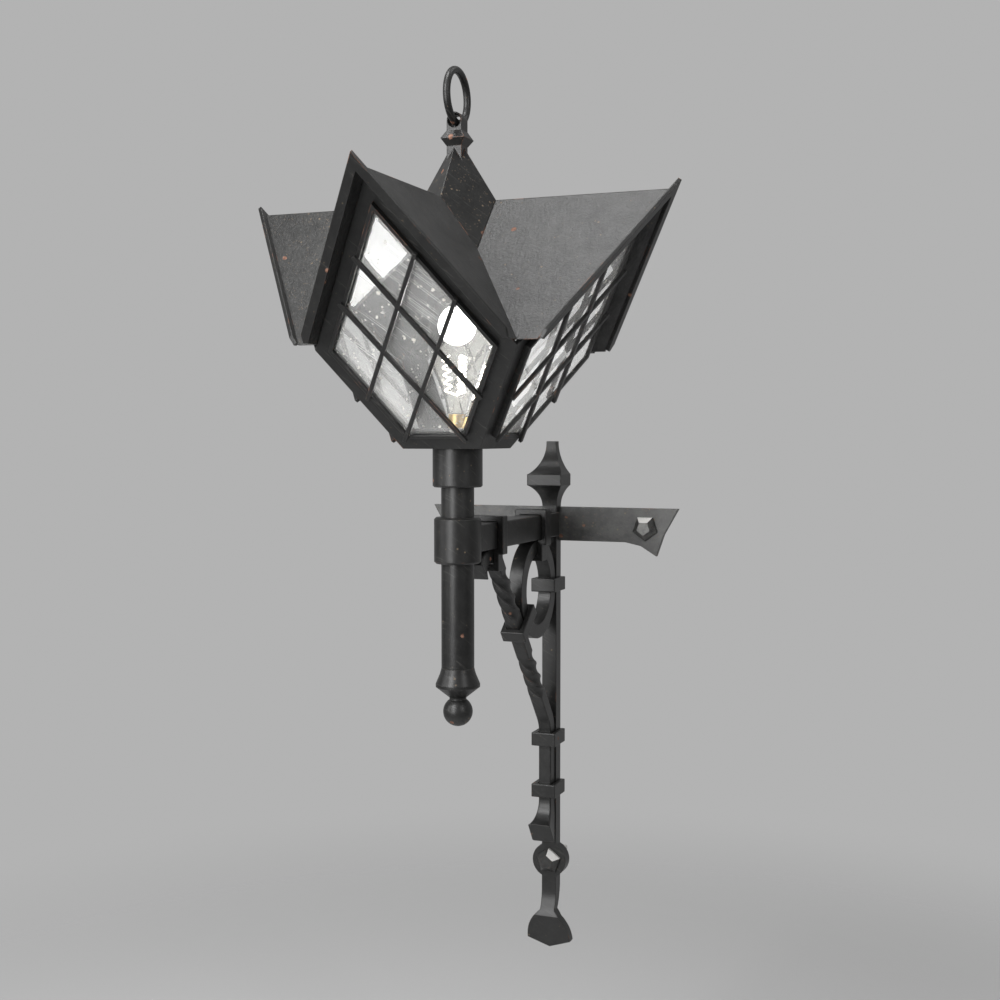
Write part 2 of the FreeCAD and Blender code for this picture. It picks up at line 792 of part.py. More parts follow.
# the post: upper collar, tube, middle collar and turned end
bore_r = g.post_radius + g.seat_gap
upper_low = g.base_z - g.upper_collar_height
upper_seat = g.base_z - g.upper_collar_top
keep(turned("upper_collar", [
    (g.wire_hole_radius, g.base_z),
    (g.upper_collar_radius, g.base_z),
    (g.upper_collar_radius, upper_low + g.upper_collar_bevel),
    (g.upper_collar_radius - g.upper_collar_bevel, upper_low),
    (bore_r, upper_low),
    (bore_r, upper_seat),
    (g.wire_hole_radius, upper_seat),
]), "upper_collar")
keep(turned("post_tube", [
    (g.post_bore, -g.post_drop),
    (g.post_radius, -g.post_drop),
    (g.post_radius, upper_seat - g.seat_gap),
    (g.post_bore, upper_seat - g.seat_gap),
]), "post_tube")
eased = g.middle_collar_bevel
keep(turned("middle_collar", [
    (bore_r, -g.middle_collar_half),
    (g.middle_collar_radius - eased, -g.middle_collar_half),
    (g.middle_collar_radius, -g.middle_collar_half + eased),
    (g.middle_collar_radius, g.middle_collar_half - eased),
    (g.middle_collar_radius - eased, g.middle_collar_half),
    (bore_r, g.middle_collar_half),
]), "middle_collar")
end_top = -g.post_drop - g.seat_gap
flare_z = -g.post_drop - g.flare_drop
spool_z = -g.post_drop - g.spool_drop
ball_z = -g.post_drop - g.ball_drop
plug_r = g.post_bore - g.seat_gap
plug_top = g.plug_height - g.post_drop
end_turn = turned("post_end_turn", [
    (0, ball_z),
    (g.spool_radius, ball_z),
    (g.spool_radius, spool_z),
    (g.spool_radius + g.spool_bevel, spool_z + g.spool_bevel * 0.8),
    (g.flare_radius, flare_z - g.flare_half),
    (g.flare_radius, flare_z + g.flare_half),
    (g.post_radius + g.cuff_past_post, -g.post_drop - g.cuff_drop),
    (g.post_radius, end_top),
    (plug_r, end_top),
    (plug_r, plug_top),
    (0, plug_top),
])
ball = doc.addObject("Part::Sphere", "post_ball")
ball.setExpression("Radius", g.ball_radius.text)
place(ball, y=-g.reach, z=ball_z)
post_end = boolean("MultiFuse", "post_end", end_turn, [ball])
keep(post_end, "post_end")

# worked-out places of the brace: it falls from a knee under the beam to a heel on the upright bar
flat_z = derive("brace_flat_z", -g.beam_half_height - g.hoop_gap - g.brace_half)
plumb_y = derive("brace_plumb_y", -g.bar_depth - g.hoop_gap - g.brace_half)
knee_y = derive("knee_y", -g.reach + g.knee_inset)
slope_run = derive("slope_run", plumb_y - knee_y)
slope_fall = derive("slope_fall", g.heel_drop + flat_z)
slope_len = derive("slope_length", root(slope_run * slope_run + slope_fall * slope_fall))
sin_b = derive("sin_brace", slope_fall / slope_len)
cos_b = derive("cos_brace", slope_run / slope_len)
knee_t = derive("knee_tangent", g.knee_radius * (1 - cos_b) / sin_b)
heel_t = derive("heel_tangent", g.heel_radius * (1 - sin_b) / cos_b)

# the hoop is as large as fits between the upright bar, the beam and the brace
nook = (slope_run + g.brace_half) * sin_b + g.brace_half * cos_b - g.brace_half - g.clamp_slack
hoop_r = derive("hoop_radius", nook / 2 * (sin_b + cos_b - 1) / (sin_b * cos_b))
hoop_in = derive("hoop_inner_radius", hoop_r - g.stock_half * 2)
hoop_y = derive("hoop_y", -g.bar_depth - g.hoop_gap - hoop_r)
hoop_z = derive("hoop_z", -g.beam_half_height - g.hoop_gap - hoop_r)

# the low collars, the brace's lower tail, the boss and the leaf follow each other down the bar
collar_a_z = derive("low_collar_a_z", -g.heel_drop - heel_t - g.bar_collar_lead)
collar_b_z = derive("low_collar_b_z", collar_a_z - g.bar_collar_step)
tail_z = derive("lower_tail_z", collar_b_z - g.lower_tail_drop)
boss_z = derive("boss_z", tail_z - g.boss_drop)

# the strap on the wall, with a half fishtail at each end
bolt_x = g.strap_half_length - g.bolt_inset
bolt_z = -g.bolt_fall
strap = body("wall_strap")
sk = sketch(strap, "strap_outline", "XZ_Plane")
right_end = [
    (g.strap_half_length - g.fishtail_start, -g.strap_half_height),
    (g.strap_half_length - g.fishtail_bend, -g.strap_half_height - g.fishtail_bend_drop),
    (g.strap_half_length - g.fishtail_tip, -g.strap_half_height - g.fishtail_tip_drop),
    (g.strap_half_length - g.fishtail_notch, -g.strap_half_height + g.fishtail_notch_rise),
    (g.strap_half_length, g.strap_half_height),
]
loop(sk, right_end + [(-x, z) for x, z in right_end[::-1]])
disc(sk, bolt_x, bolt_z, g.shank_radius + g.shank_gap)
disc(sk, -bolt_x, bolt_z, g.shank_radius + g.shank_gap)
pad(strap, sk, g.strap_thick, "strap_pad")
keep(strap, "wall_strap")


# the upright bar: its front and side outlines, crossed, with a round boss for its bolt
foot_z = boss_z - g.leaf_drop
neck_z = boss_z - g.leaf_neck_drop
kink_z = boss_z - g.leaf_kink_drop
front = body("bar_front")
sk = sketch(front, "bar_front_outline", "XZ_Plane")
half_front = [
    (g.finial_top_half, g.finial_top, "here"),
    (g.nose_half, g.nose_top),
    (g.nose_half, g.nose_low, "there"),
    (g.bar_half_width, g.finial_foot),
    (g.bar_half_width, neck_z, "there"),
    (g.leaf_half, boss_z - g.leaf_side_drop),
]
loop(sk, [(-p[0], *p[1:]) for p in half_front] + [(0, foot_z)] + backwards(half_front))
nose_depth = g.bar_depth + g.nose_out
pad(front, sk, nose_depth * 2, "bar_front_pad")
profile = body("bar_profile")
side_reach = g.leaf_half + g.nose_half
sk = sketch(profile, "bar_side_outline", "YZ_Plane", -side_reach)
kink_y = -g.bar_depth - g.leaf_kink_out
side_pts = [
    (0, g.finial_top),
    (-g.finial_top_depth, g.finial_top),
    (-g.finial_top_depth, g.finial_top - g.finial_top_straight, "here"),
    (-nose_depth, g.nose_top),
    (-nose_depth, g.nose_low, "there"),
    (-g.bar_depth, g.finial_foot),
    (-g.bar_depth, kink_z + g.leaf_front_rise, "here"),
    (kink_y, kink_z),
    (-g.leaf_tip_depth, foot_z),
    (-g.leaf_tip_depth + g.leaf_tip_thick, foot_z),
    (kink_y + g.leaf_kink_thick, kink_z, "there"),
    (0, kink_z + g.leaf_back_rise),
]
loop(sk, side_pts)
pad(profile, sk, side_reach * 2, "bar_side_pad")
bar_cross = boolean("MultiCommon", "bar_cross", front, [profile])
boss = cylinder("bar_boss", g.boss_radius, g.bar_depth)
place(boss, z=boss_z, turn=(Vector(1, 0, 0), 90))
bar_solid = boolean("MultiFuse", "bar_solid", bar_cross, [boss])
notch = doc.addObject("Part::Box", "bar_notch")
notch.setExpression("Length", (g.boss_radius * 4).text)
notch.setExpression("Width", (g.strap_thick + g.lap_gap * 2).text)
notch.setExpression("Height", (g.strap_half_height * 2 + g.lap_gap * 2).text)
place(notch, x=-g.boss_radius * 2, y=-g.strap_thick - g.lap_gap, z=-g.strap_half_height - g.lap_gap)
bar_hole = cylinder("bar_hole", g.shank_radius + g.shank_gap, g.bar_depth * 4)
place(bar_hole, y=g.bar_depth, z=boss_z, turn=(Vector(1, 0, 0), 90))
bar_voids = boolean("MultiFuse", "bar_voids", notch, [bar_hole])
wall_bar = boolean("Cut", "wall_bar", bar_solid, bar_voids)
keep(wall_bar, "wall_bar")

# the beam from the upright bar to the middle collar
beam_box = doc.addObject("Part::Box", "beam_box")
beam_box.setExpression("Length", (g.beam_half_width * 2).text)
beam_box.setExpression("Width", (g.reach - g.bar_depth - g.lap_gap).text)
beam_box.setExpression("Height", (g.beam_half_height * 2).text)
place(beam_box, x=-g.beam_half_width, y=-g.reach, z=-g.beam_half_height)
beam_cope = cylinder("beam_cope", g.middle_collar_radius + g.lap_gap, g.beam_half_height * 4)
place(beam_cope, y=-g.reach, z=-g.beam_half_height * 2)
beam = boolean("Cut", "beam", beam_box, beam_cope)
keep(beam, "beam")

# the hoop under the beam
hoop = body("hoop")
sk = sketch(hoop, "hoop_outline", "YZ_Plane", -g.stock_half)
disc(sk, hoop_y, hoop_z, hoop_r)
disc(sk, hoop_y, hoop_z, hoop_in)
pad(hoop, sk, g.stock_half * 2, "hoop_pad")
keep(hoop, "hoop")


def clip(label, inner_half, y, depth):
    """A stepped band around the beam and the bar that lies under it."""
    b = body(label)
    sk = sketch(b, f"{label}_outline", "XZ_Plane")
    bx, bz = g.beam_half_width + g.lap_gap, g.beam_half_height + g.lap_gap
    ox, oz = g.beam_half_width + g.band_thick, g.beam_half_height + g.band_thick
    px, pz = inner_half + g.lap_gap, g.beam_half_height + g.hoop_gap + inner_half * 2 + g.clip_slack
    qx, qz = inner_half + g.band_thick, pz + g.band_thick
    loop(sk, [(-qx, -qz), (qx, -qz), (qx, -oz), (ox, -oz), (ox, oz), (-ox, oz), (-ox, -oz), (-qx, -oz)])
    loop(sk, [(-px, -pz), (px, -pz), (px, -bz), (bx, -bz), (bx, bz), (-bx, bz), (-bx, -bz), (-px, -bz)])
    pad(b, sk, depth, f"{label}_pad")
    place(b, y=y + depth)
    return b


keep(clip("brace_clip", g.brace_half, knee_y - g.clip_lead, g.clip_depth), "brace_clip")
keep(clip("hoop_clip", g.stock_half, hoop_y - g.hoop_clip_depth / 2, g.hoop_clip_depth), "hoop_clip")


def bar_collar(label, z, inner):
    """A three-sided band, open at the wall, that holds a second bar against the upright one."""
    b = body(label)
    sk = sketch(b, f"{label}_outline", "XY_Plane", -g.bar_collar_height / 2)
    ix, iy = g.bar_half_width + g.bar_collar_gap, inner
    ox, oy = g.bar_half_width + g.bar_collar_thick, inner - g.bar_collar_thick
    loop(sk, [(-ox, 0), (-ox, oy), (ox, oy), (ox, 0), (ix, 0), (ix, iy), (-ix, iy), (-ix, 0)])
    pad(b, sk, g.bar_collar_height, f"{label}_pad")
    place(b, z=z)
    return b


hoop_sag = hoop_in - root(hoop_in * hoop_in - g.bar_collar_height * g.bar_collar_height / 4)
hoop_depth = hoop_y + hoop_in - hoop_sag - g.bar_collar_gap
brace_depth = plumb_y - g.brace_half - g.bar_collar_gap
keep(bar_collar("hoop_collar", hoop_z, hoop_depth), "hoop_collar")
keep(bar_collar("low_collar_a", collar_a_z, brace_depth), "low_collar_a")
keep(bar_collar("low_collar_b", collar_b_z, brace_depth), "low_collar_b")

# the brace: a square bar, twisted on its slope, with a flared tail at each end
w = g.brace_half.value
slope = math.atan2(slope_fall.value, slope_run.value)
along = Vector(0, cos_b.value, -sin_b.value)
square_off = Vector(0, sin_b.value, cos_b.value)
knee = Vector(0, knee_y.value, flat_z.value)
heel = Vector(0, plumb_y.value, -g.heel_drop.value)
hub = Vector(0, hoop_y.value, hoop_z.value)
clamp_at = (hub - knee).dot(along)
twist_turns = 3


def normal(tilt):
    """The direction square to a path that dips by tilt."""
    return Vector(0, math.sin(tilt), math.cos(tilt))


def section(centre, tilt, half_x=w, half_n=w, turn=0):
    """A square with trimmed corners, across a path that dips by tilt, turned about the path."""
    n, e = normal(tilt), Vector(1, 0, 0)
    c = g.brace_edge.value
    u, v = half_x, half_n
    pts = [(u, v - c), (u - c, v), (c - u, v), (-u, v - c), (-u, c - v), (c - u, -v), (u - c, -v), (u, c - v)]
    co, si = math.cos(turn), math.sin(turn)
    ring_pts = [centre + e * (co * a - si * b) + n * (si * a + co * b) for a, b in pts]
    return Part.makePolygon(ring_pts + [ring_pts[0]])


def straight(start, end, tilt):
    """A plain length of bar between two points."""
    return Part.makeLoft([section(start, tilt), section(end, tilt)], True, True)


def bend(start, tilt_a, tilt_b, radius):
    """An arc of bar that starts at a point and dips more and more."""
    steps = 6
    centre = start - normal(tilt_a) * radius
    tilts = [tilt_a + (tilt_b - tilt_a) * i / steps for i in range(steps + 1)]
    return Part.makeLoft([section(centre + normal(t) * radius, t) for t in tilts], True, False)


def tail(start, tilt, turn, end_n):
    """An arc of bar that curls away from a point and swells towards its end."""
    steps = 4
    radius = g.tail_radius.value
    centre = start - normal(tilt) * radius
    out = []
    for i in range(steps + 1):
        t = tilt + turn * i / steps
        k = (i / steps) ** 2
        half_x, half_n = w + (g.tail_half.value - w) * k, w + (end_n - w) * k
        out.append(section(centre + normal(t) * radius, t, half_x, half_n))
    return Part.makeLoft(out, True, False)


def twisted(start, end):
    """A twisted length of the slope between two distances from the knee."""
    steps = 6 * twist_turns
    secs = []
    for i in range(steps + 1):
        turn = math.radians(90 * twist_turns * i / steps)
        secs.append(section(knee + along * (start + (end - start) * i / steps), slope, turn=turn))
    return Part.makeLoft(secs, True, False)


bend_y = knee_y.value - knee_t.value
run_start = Vector(0, bend_y - g.knee_run.value, flat_z.value)
knee_start = Vector(0, bend_y, flat_z.value)
knee_end = knee_t.value
heel_start = slope_len.value - heel_t.value
heel_end = heel - Vector(0, 0, heel_t.value)
tail_start = Vector(0, plumb_y.value, tail_z.value)
twist_a = knee_end + g.twist_knee_gap.value
twist_a_end = clamp_at - g.twist_clamp_gap.value
twist_b = clamp_at + g.twist_low_gap.value
twist_b_end = heel_start - g.twist_heel_gap.value
brace_pieces = [
    tail(run_start, 0, -math.radians(g.upper_tail_turn.value), g.upper_tail_thick.value),
    straight(run_start, knee_start, 0),
    bend(knee_start, 0, slope, g.knee_radius.value),
    straight(knee + along * knee_end, knee + along * twist_a, slope),
    twisted(twist_a, twist_a_end),
    straight(knee + along * twist_a_end, knee + along * twist_b, slope),
    twisted(twist_b, twist_b_end),
    straight(knee + along * twist_b_end, knee + along * heel_start, slope),
    bend(knee + along * heel_start, slope, math.pi / 2, g.heel_radius.value),
    straight(heel_end, tail_start, math.pi / 2),
    tail(tail_start, math.pi / 2, math.radians(g.lower_tail_turn.value), g.lower_tail_thick.value),
]
brace = doc.addObject("Part::Feature", "brace")
brace.Shape = brace_pieces[0].multiFuse(brace_pieces[1:]).removeSplitter()
keep(brace, "brace")

# the slanted clamp around the brace and the hoop
clamp = body("brace_clamp")
sk = sketch(clamp, "clamp_outline", "XY_Plane", -g.clamp_height / 2)
clamp_in = g.stock_half + g.bar_collar_gap
near = hoop_in - g.clamp_ease
farther = hoop_r + g.clamp_slack + g.brace_half * 2 + g.bar_collar_gap
low_n, high_n = -farther - g.bar_collar_thick, -near + g.bar_collar_thick
wide = g.clamp_half_width
loop(sk, [(-wide, low_n), (wide, low_n), (wide, high_n), (-wide, high_n)])
loop(sk, [(-clamp_in, -farther), (clamp_in, -farther), (clamp_in, -near), (-clamp_in, -near)])
pad(clamp, sk, g.clamp_height, "clamp_pad")
clamp_mid = hub - along * g.clamp_shift.value
clamp.Placement = Placement(clamp_mid, Rotation(Vector(1, 0, 0), square_off, along * -1, "XYZ"))
keep(clamp, "brace_clamp")


def pentagon_head(b, tag, lift, half, spin):
    sk = sketch(b, tag, "XZ_Plane", lift)
    pts = []
    for i in range(5):
        a = math.radians(spin + 72 * i)
        pts.append((half * math.cos(a), half * math.sin(a)))
    loop(sk, pts)
    return sk


def bolt(label, seat, spin):
    """A coach screw: a five-sided head that tapers outwards, a plain shank, a thread and a point."""
    b = body(label)
    low = pentagon_head(b, f"{label}_base", seat, g.bolt_head_radius, spin)
    mid = pentagon_head(b, f"{label}_mid", seat + g.bolt_head_side, g.bolt_head_radius, spin)
    top = pentagon_head(b, f"{label}_top", seat + g.bolt_head_height, g.bolt_tip_radius, spin)
    loft(b, [low, mid, top], f"{label}_head")
    sk = sketch(b, f"{label}_shank", "XZ_Plane", -g.shank_past_wall)
    disc(sk, 0, 0, g.shank_radius)
    pad(b, sk, g.shank_past_wall + seat, f"{label}_shank_pad")
    thread_end = g.shank_past_wall + g.thread_length
    sk = sketch(b, f"{label}_thread", "XZ_Plane", -thread_end)
    disc(sk, 0, 0, g.thread_radius)
    pad(b, sk, g.thread_length, f"{label}_thread_pad")
    wide = sketch(b, f"{label}_point_wide", "XZ_Plane", -thread_end)
    disc(wide, 0, 0, g.thread_radius)
    tip = sketch(b, f"{label}_point_tip", "XZ_Plane", -thread_end - g.screw_point_length)
    disc(tip, 0, 0, g.screw_point_radius)
    loft(b, [wide, tip], f"{label}_point")
    return b


bolt_right = place(bolt("bolt_right", g.strap_thick, -90), x=bolt_x, z=bolt_z)
bolt_left = place(bolt("bolt_left", g.strap_thick, -90), x=-bolt_x, z=bolt_z)
bolt_low = place(bolt("bolt_low", g.bar_depth, -128), z=boss_z)
keep(bolt_right, "bolt_right")
keep(bolt_left, "bolt_left")
keep(bolt_low, "bolt_low")

doc.recompute()
bad = [o.Name for o in doc.Objects if "Invalid" in o.State or "Error" in o.State]
if bad:
    raise RuntimeError(f"objects with errors: {bad}")
os.makedirs("parts", exist_ok=True)
for obj, name in made:
    shape = obj.Shape
    if shape.isNull() or not shape.isValid() or not shape.Solids:
        raise RuntimeError(f"{name} has no sound solid")
    obj.Label = name
    shape.exportStep(f"parts/{name}.step")
    box = shape.BoundBox
    print(name, len(shape.Solids), round(shape.Volume / 1000, 2), "cm3",
          [round(c, 1) for c in (box.XMin, box.XMax, box.YMin, box.YMax, box.ZMin, box.ZMax)])
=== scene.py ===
import math

import bpy
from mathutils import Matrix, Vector


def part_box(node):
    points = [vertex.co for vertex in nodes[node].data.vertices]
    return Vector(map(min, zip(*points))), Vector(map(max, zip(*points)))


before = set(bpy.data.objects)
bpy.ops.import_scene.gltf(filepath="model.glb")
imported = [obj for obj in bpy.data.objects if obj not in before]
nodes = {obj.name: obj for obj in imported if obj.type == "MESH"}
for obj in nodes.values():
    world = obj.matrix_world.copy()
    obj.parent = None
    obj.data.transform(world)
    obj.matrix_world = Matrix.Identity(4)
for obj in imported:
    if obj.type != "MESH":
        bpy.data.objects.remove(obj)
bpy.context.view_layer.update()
bpy.ops.object.select_all(action="DESELECT")

# sizes and places are in metres, in the frame of the part
MIDDLE = (0.0, -0.2, 0.05)
GLOW_BELOW_CROWN = 0.030
GLOW_RADIUS = 0.026
GLOW_WATTS = 0.35
FLOOR_Z = -0.8
FLOOR_RADIUS = 2.0
FLOOR_SIDES = 96
FLOOR_FADES_FROM = 0.5
FLOOR_GONE_AT = 1.7

# worn rounds on the flat-sided pieces of the bracket
BEAM_ROUND = 0.0010
CLIP_ROUND = 0.0008
CLIPS = ("brace_clip", "hoop_clip", "brace_clamp", "hoop_collar", "low_collar_a", "low_collar_b")

# directions that the scratches in the paint and the wiped lines on the front pane run across
ACROSS_SCRATCHES = (0.4, 0.5, 0.77)
ACROSS_WIPES = (0.70, -0.39, 0.58)

# ways that the facet of a bolt with a painted highlight looks
UPWARDS = (0.0, 0.0, 1.0)
UP_AND_RIGHT = (0.6, 0.0, 0.8)

# lights lie flat and look down unless they are turned
UPWARD_TURN = math.pi
LOW_PANEL_TURN = math.radians(130.6)

CAMERA_PLACE = (0.559, -1.5965, 0.1075)
CAMERA_TILT = math.radians(87.31)
CAMERA_TURN = math.radians(21.52)
CAMERA_LENS_MM = 50
CAMERA_SENSOR_MM = 36


def rgb(r, g, b):
    return (r, g, b, 1.0)


def grey(level, blue=1.0):
    """A grey, which a share of blue below 1 warms."""
    return rgb(level, level, level * blue)


SCUFF = rgb(0.30, 0.29, 0.27)
SPATTER = rgb(0.27, 0.20, 0.13)
DARK_RUST = rgb(0.15, 0.065, 0.040)
PALE_RUST = rgb(0.36, 0.19, 0.13)
PORE_RUST = rgb(0.10, 0.055, 0.035)
# pale grey painted on one facet of a bolt as a painted highlight
FACET_HIGHLIGHT = rgb(0.66, 0.65, 0.63)
PANE_CLEAR = rgb(0.98, 0.985, 0.98)
PANE_FILM = rgb(0.76, 0.76, 0.75)
PANE_DIRT = rgb(0.86, 0.82, 0.74)
BULB_CLEAR = rgb(1.0, 0.99, 0.96)
BULB_HAZE = rgb(0.96, 0.95, 0.92)
DARK_BRASS = rgb(0.58, 0.37, 0.12)
BRIGHT_BRASS = rgb(0.80, 0.58, 0.27)
DARK_GLAZE = rgb(0.045, 0.040, 0.036)
PALE_GLAZE = rgb(0.10, 0.09, 0.08)
WIRE = rgb(0.9, 0.8, 0.6)
WARM_GLOW = rgb(1.0, 0.94, 0.84)
WHITE_GLOW = rgb(1.0, 0.98, 0.93)
FLOOR_GREY = grey(0.58)
SURROUND_SEEN = grey(0.45)
SURROUND_BEHIND = grey(0.32)
SURROUND_DIM = grey(0.15)


class Num:
    """A number or vector in a node tree. Sums and products of it add Math nodes."""

    def __init__(self, tree, socket):
        self.tree = tree
        self.socket = socket

    def math(self, operation, first, second):
        return self.tree.add("ShaderNodeMath", {"operation": operation}, {0: first, 1: second})

    def __add__(self, other):
        return self.math("ADD", self, other)

    def __radd__(self, other):
        return self.math("ADD", other, self)

    def __sub__(self, other):
        return self.math("SUBTRACT", self, other)

    def __rsub__(self, other):
        return self.math("SUBTRACT", other, self)

    def __mul__(self, other):
        return self.math("MULTIPLY", self, other)

    def __rmul__(self, other):
        return self.math("MULTIPLY", other, self)

    def most(self, other):
        """The greater of two numbers."""
        return self.math("MAXIMUM", self, other)

    def over(self, low, high):
        """0 below low and 1 above high, with a smooth step between."""
        return self.tree.add(
            "ShaderNodeMapRange",
            {"interpolation_type": "SMOOTHSTEP"},
            {"Value": self, "From Min": low, "From Max": high},
        )


class Tree:
    """A node tree under construction."""

    def __init__(self, owner, output):
        owner.use_nodes = True
        self.nodes = owner.node_tree.nodes
        self.links = owner.node_tree.links
        self.nodes.clear()
        self.end = self.nodes.new(output)

    def add(self, kind, settings=None, sockets=None, out=0):
        """Adds a node, with its settings first and then its sockets, and gives one of its outputs."""
        node = self.nodes.new(kind)
        for name, value in (settings or {}).items():
            setattr(node, name, value)
        for name, value in (sockets or {}).items():
            if isinstance(value, Num):
                self.links.new(value.socket, node.inputs[name])
            else:
                node.inputs[name].default_value = value
        return Num(self, node.outputs[out])

    def blend(self, amount, first, second):
        return self.add("ShaderNodeMixShader", None, {"Fac": amount, 1: first, 2: second})

    def finish(self, surface):
        self.links.new(surface.socket, self.end.inputs["Surface"])


class Finish(Tree):
    """A material under construction, with patterns in metres on the object."""

    BEVEL_SAMPLES = 6
    RAGGED = 0.22
    SPECK_EDGE = 0.05
    SHARE_EDGE = 0.04

    def __init__(self, name):
        self.material = bpy.data.materials.new(name)
        super().__init__(self.material, "ShaderNodeOutputMaterial")
        self.place = self.add("ShaderNodeTexCoord", out="Object")

    def stretched(self, long, short, across):
        """Object coordinates for streaks of the given length and width across a direction."""
        turn = Vector(across).to_track_quat("Z", "Y").to_euler()
        sockets = {"Vector": self.place, "Rotation": turn, "Scale": (long, long, short)}
        return self.add("ShaderNodeMapping", {"vector_type": "TEXTURE"}, sockets)

    def noise(self, scale=1.0, detail=2.0, rough=0.5, at=None, twist=0.0):
        """Clouds from 0 to 1, scale of them to the metre, or to the length of the streaks they lie at."""
        sockets = {
            "Vector": at or self.place,
            "Scale": scale,
            "Detail": detail,
            "Roughness": rough,
            "Distortion": twist,
        }
        return self.add("ShaderNodeTexNoise", None, sockets)

    def specks(self, scale, size, share):
        """Small spots of uneven shape, on a share of scattered points."""
        sockets = {"Vector": self.place, "Scale": scale}
        distance = self.add("ShaderNodeTexVoronoi", None, sockets, out="Distance")
        ragged = distance + self.noise(scale * 3.0) * self.RAGGED - self.RAGGED / 2
        left_out = 1.0 - share
        taken = self.noise(scale * 0.4).over(left_out, left_out + self.SHARE_EDGE)
        return (size - ragged).over(0.0, self.SPECK_EDGE) * taken

    def rounded(self, radius):
        """The normal, turned round the edges at a radius."""
        return self.add("ShaderNodeBevel", {"samples": self.BEVEL_SAMPLES}, {"Radius": radius}, out="Normal")

    def facing(self, normal, way):
        """1 where a normal looks a way, and less where it looks aside."""
        sockets = {0: normal, 1: way}
        return self.add("ShaderNodeVectorMath", {"operation": "DOT_PRODUCT"}, sockets, out="Value")

    def relief(self, height, strength, depth, normal):
        sockets = {"Height": height, "Strength": strength, "Distance": depth, "Normal": normal}
        return self.add("ShaderNodeBump", None, sockets, out="Normal")

    def mix(self, amount, first, second):
        """Colour mix: inputs 6 and 7 are the node's colour pair, and output 2 its colour."""
        return self.add("ShaderNodeMix", {"data_type": "RGBA"}, {0: amount, 6: first, 7: second}, out=2)

    def shader(self, **sockets):
        """Principled shader, with _ for the spaces in its sockets' names."""
        named = {name.replace("_", " "): value for name, value in sockets.items()}
        return self.add("ShaderNodeBsdfPrincipled", None, named)


def forged_iron(name, fade_and_painted_light=0.0, pitted=0.0, spatter=0.36, spatter_left=0.0, chipped=0.41):
    """Black satin paint over iron: mottled, scuffed, with pale specks, and chipped to rust at the edges.

    fade_and_painted_light is how far the paint has gone grey, and at large values paler paint as painted
    light, pitted how rough the rain has left it, spatter the share of it with specks, spatter_left what is
    added to that share on the left of the middle, and chipped the share with rust spots.
    """
    f = Finish(name)
    cloud = f.noise(scale=11.0, detail=5.0, rough=0.62)
    mottle = f.noise(scale=75.0, detail=4.0, rough=0.7)
    grain = f.noise(scale=300.0, detail=4.0, rough=0.7)
    rounded = f.rounded(radius=0.0014)
    flat = f.add("ShaderNodeNewGeometry", out="Normal")
    edge = (1.0 - f.facing(rounded, flat)).over(0.02, 0.16)

    share = spatter
    if spatter_left:
        right = f.add("ShaderNodeSeparateXYZ", None, {0: f.place}, out="X").over(-0.10, -0.02)
        share = spatter + (1.0 - right) * spatter_left
    fine_specks = f.specks(scale=390.0, size=0.25, share=share) * 0.7
    specks = f.specks(scale=170.0, size=0.20, share=share).most(fine_specks)
    streaks = f.stretched(long=0.030, short=0.0009, across=ACROSS_SCRATCHES)
    scratches = f.noise(detail=1.0, rough=0.4, at=streaks, twist=0.2).over(0.68, 0.73)
    knocked = f.noise(scale=26.0, detail=3.0, rough=0.6).over(0.58, 0.62)
    chips = (edge * knocked).most(f.specks(scale=58.0, size=0.16, share=chipped))

    dark = 0.011 + fade_and_painted_light * 0.008 - pitted * 0.003
    pale = 0.024 + fade_and_painted_light * 0.026 + pitted * 0.010
    fine_part = 0.45 + pitted * 0.15
    tone = cloud.over(0.32, 0.68) * (1.0 - fine_part) + mottle.over(0.3, 0.7) * fine_part
    paint = f.mix(tone, grey(dark), grey(pale, blue=0.97))
    rubbed = scratches * (0.12 - pitted * 0.10) + edge * 0.10 + grain.over(0.55, 0.75) * 0.03
    scuffed = f.mix(rubbed, paint, SCUFF)
    spotted = f.mix(specks * 0.50, scuffed, SPATTER)
    rust_tone = f.noise(scale=210.0, detail=3.0, rough=0.6).over(0.35, 0.65)
    colour = f.mix(chips * 0.9, spotted, f.mix(rust_tone, DARK_RUST, PALE_RUST))

    rough = 0.27 + pitted * 0.04 + cloud * 0.10 + grain * 0.10 + chips * 0.35 + specks * 0.2
    height = grain * (0.4 + pitted * 0.8) + mottle * 0.7 - chips * 0.8 - specks * 0.3
    relief = f.relief(height, strength=0.14 + pitted * 0.24, depth=0.0012, normal=rounded)
    f.finish(f.shader(Base_Color=colour, Roughness=rough, Normal=relief))
    return f.material


def bolt_iron(name, rubbed, bare):
    """Iron of a bolt: a painted highlight on the facet that looks one way, dulled elsewhere, with rust in the
    pores.

    rubbed is the way that the facet with the painted highlight looks, and bare how far the paint is gone from
    the rest.
    """
    f = Finish(name)
    wear = f.noise(scale=140.0, detail=4.0, rough=0.65)
    pores = f.noise(scale=420.0, detail=3.0, rough=0.6).over(0.62, 0.72)
    flat = f.add("ShaderNodeNewGeometry", out="True Normal")
    # painted highlight: the facet that looks the given way is painted pale grey, and not metal
    bright = f.facing(flat, rubbed).over(0.45, 0.60)
    dark = 0.020 + bare * 0.050
    pale = 0.045 + bare * 0.110
    steel = f.mix(wear.over(0.3, 0.7), grey(dark), grey(pale, blue=0.96))
    worn = f.mix(bright, steel, FACET_HIGHLIGHT)
    colour = f.mix(pores * (0.8 - bright * 0.5), worn, PORE_RUST)
    metal = (1.0 - bright) * (bare * 0.7) if bare else 0.0
    relief = f.relief(wear - pores, strength=0.12, depth=0.0008, normal=f.rounded(radius=0.0008))
    f.finish(f.shader(Base_Color=colour, Metallic=metal, Roughness=0.28 + wear * 0.14, Normal=relief))
    return f.material


